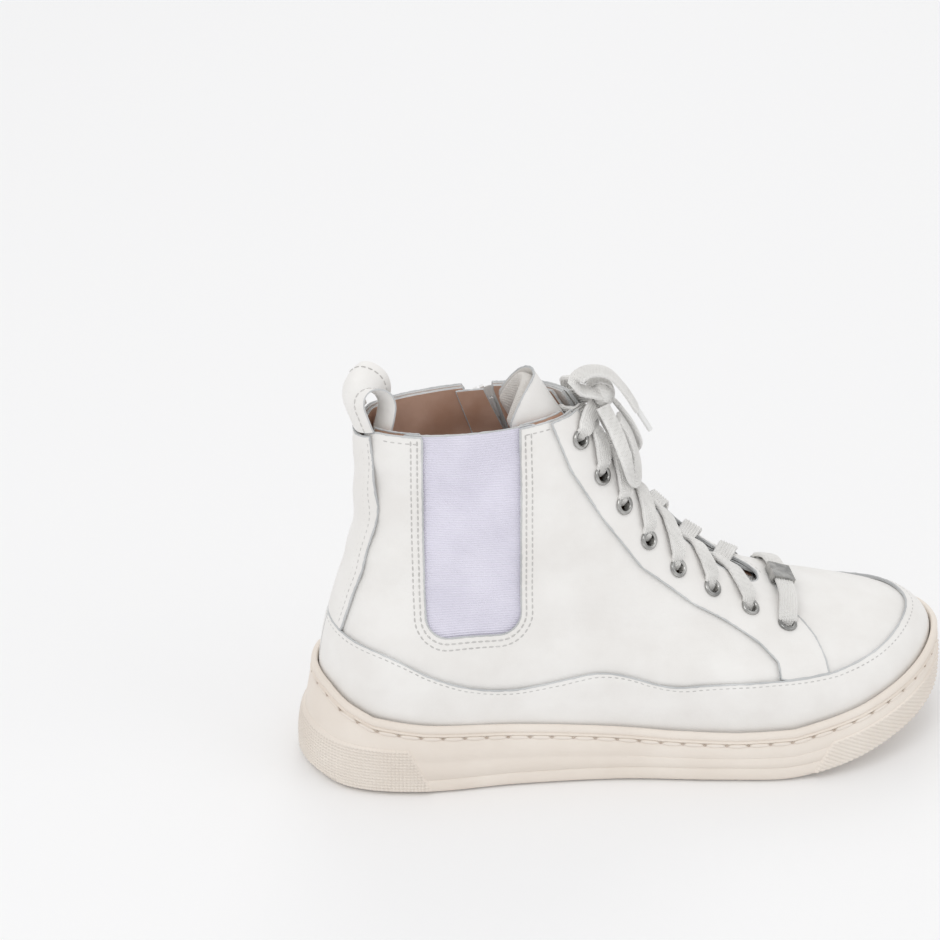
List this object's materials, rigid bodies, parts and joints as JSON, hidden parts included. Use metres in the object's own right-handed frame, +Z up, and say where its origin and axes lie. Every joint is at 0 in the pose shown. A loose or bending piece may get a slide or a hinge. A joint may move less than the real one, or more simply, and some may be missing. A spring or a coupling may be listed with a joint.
{
  "type": "high-top sneaker",
  "caption": "White leather high-top sneaker on a cream cup sole, with laces, a side zip, an elastic gore, a heel loop and a padded tongue.",
  "frame": {"origin": "on the ground, under the middle of the sole's plan box", "axes": "+X towards the toe, +Y towards the inner (medial) side of this right shoe, +Z up"},
  "size_m": [0.2914, 0.1102, 0.1877],
  "materials": {
    "leather": "smooth full-grain leather, white, light creases",
    "lining": "tan lining leather, matt",
    "tongue_lining": "grey-beige padded lining",
    "foam": "soft foam padding",
    "rubber": "cream moulded rubber, matt",
    "gore": "ribbed elastic webbing",
    "board": "fibre board",
    "lace": "flat woven cotton lace",
    "zip": "white coil zip with a painted slider",
    "nickel": "polished nickel"
  },
  "bodies": {
    "shoe": {"cupsole": "rubber", "midsole_filler": "foam", "lasting_board": "board", "footbed": "lining", "mudguard_lateral": "leather", "mudguard_medial": "leather", "backstay": "leather", "eyestay": "leather", "quarter_lateral": "leather", "lining_lateral": "lining", "quarter_medial_rear": "leather", "quarter_medial_front": "leather", "lining_medial_rear": "lining", "lining_medial_front": "lining", "vamp": "leather", "vamp_lining": "lining", "toe_puff": "board", "heel_counter": "board", "gore_panel": "gore", "pull_loop": "leather", "zip_teeth_front": "zip", "zip_teeth_rear": "zip", "zip_tape_front": "zip", "zip_tape_rear": "zip", "zip_top_stop_front": "zip", "zip_top_stop_rear": "zip", "zip_bottom_stop": "zip", "lace": "lace", "lace_bar": "lace", "lace_knot": "lace", "lace_loop_lateral": "lace", "lace_loop_medial": "lace", "lace_end_lateral": "lace", "lace_end_medial": "lace", "aglet_lateral": "zip", "aglet_medial": "zip", "eyelet_lateral_1": "nickel", "eyelet_lateral_2": "nickel", "eyelet_lateral_3": "nickel", "eyelet_lateral_4": "nickel", "eyelet_lateral_5": "nickel", "eyelet_lateral_6": "nickel", "eyelet_lateral_7": "nickel", "eyelet_lateral_8": "nickel", "eyelet_medial_1": "nickel", "eyelet_medial_2": "nickel", "eyelet_medial_3": "nickel", "eyelet_medial_4": "nickel", "eyelet_medial_5": "nickel", "eyelet_medial_6": "nickel", "eyelet_medial_7": "nickel", "eyelet_medial_8": "nickel"},
    "slider": {"zip_slider": "zip"},
    "puller": {"zip_puller": "zip"},
    "tongue": {"tongue_face": "leather", "tongue_padding": "foam", "tongue_lining": "tongue_lining"},
    "charm": {"lace_charm": "nickel"}
  },
  "joints": [
    {"name": "zip_slide", "type": "slide", "parent": "shoe", "child": "slider", "axis": [0.3337, 0.0482, -0.9415], "range_m": [0, 0.09]},
    {"name": "puller_swing", "type": "hinge", "parent": "slider", "child": "puller", "pos_m": [-0.0603, 0.02792, 0.15546], "axis": [0.9401, 0.0575, 0.3361], "range_deg": [0, 150]},
    {"name": "tongue_tilt", "type": "hinge", "parent": "shoe", "child": "tongue", "pos_m": [0.05607, 0, 0.054], "axis": [0, 1, 0], "range_deg": [-4, 0], "stiffness_Nm_per_rad": 2, "springref_deg": 1.72},
    {"name": "charm_slide", "type": "slide", "parent": "shoe", "child": "charm", "axis": [0, 1, 0], "range_m": [-0.004, 0.004]}
  ]
}
